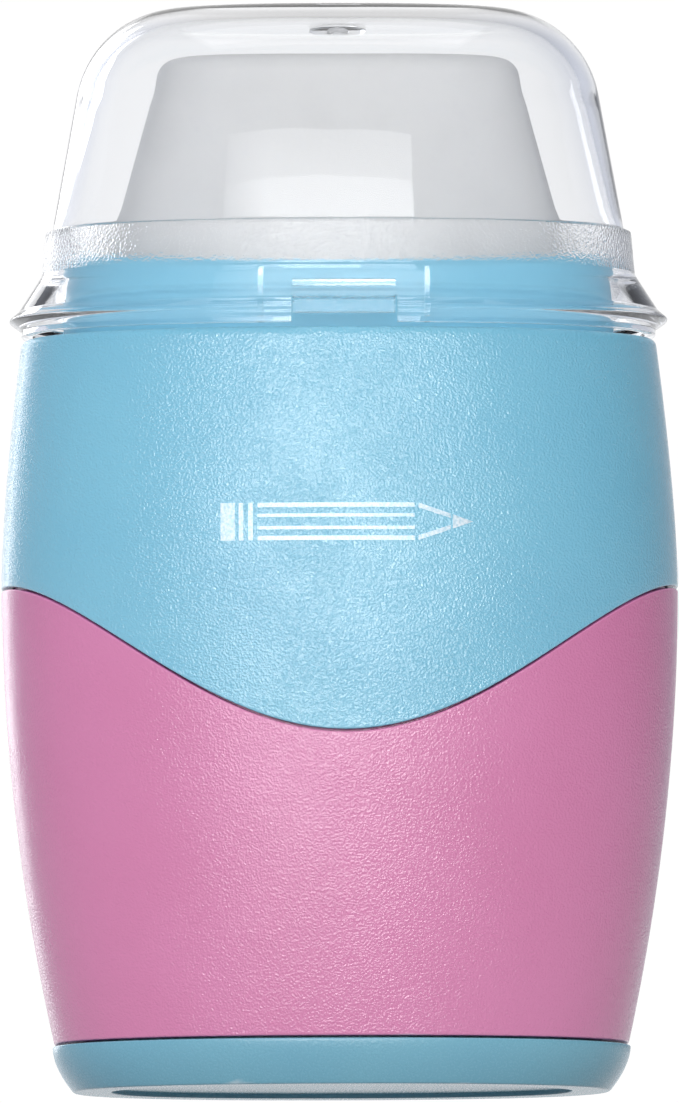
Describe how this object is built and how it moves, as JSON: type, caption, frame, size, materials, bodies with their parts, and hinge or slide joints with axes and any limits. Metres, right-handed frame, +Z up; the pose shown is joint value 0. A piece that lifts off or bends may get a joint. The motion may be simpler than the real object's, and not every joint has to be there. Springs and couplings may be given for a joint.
{
  "type": "pencil sharpener with eraser",
  "caption": "Oval hand pencil sharpener: eraser under a clear pull-off cap, two-shell housing with a wave seam for shavings, two-hole sharpener, and a pull-off base lid.",
  "frame": {"origin": "middle of the flat underside, on the surface that the sharpener stands on", "axes": "+Z up towards the cap, +X to the right across the wide face, -Y out of the front, where the cap's notch is"},
  "size_m": [0.045, 0.027, 0.0722],
  "materials": {
    "blue_plastic": "satin, finely textured moulding",
    "pink_plastic": "satin moulding",
    "clear_plastic": "clear polished moulding with a frosted band",
    "white_eraser": "matte vinyl eraser",
    "sharpener_alloy": "cast light alloy",
    "blade_steel": "ground steel"
  },
  "bodies": {
    "base": {"base_lid": "blue_plastic"},
    "lower": {"lower_shell": "pink_plastic", "sharpener_body": "sharpener_alloy", "blade_large": "blade_steel", "blade_small": "blade_steel", "screw_large": "blade_steel", "screw_small": "blade_steel"},
    "upper": {"upper_shell": "blue_plastic", "eraser_tray": "blue_plastic", "eraser": "white_eraser"},
    "cap": {"clear_cap": "clear_plastic"}
  },
  "joints": [
    {"name": "base_pull", "type": "slide", "parent": "base", "child": "lower", "axis": [0, 0, 1], "range_m": [0, 0.02]},
    {"name": "upper_lift", "type": "slide", "parent": "lower", "child": "upper", "axis": [0, 0, 1], "range_m": [0, 0.03]},
    {"name": "cap_lift", "type": "slide", "parent": "upper", "child": "cap", "axis": [0, 0, 1], "range_m": [0, 0.025]}
  ]
}
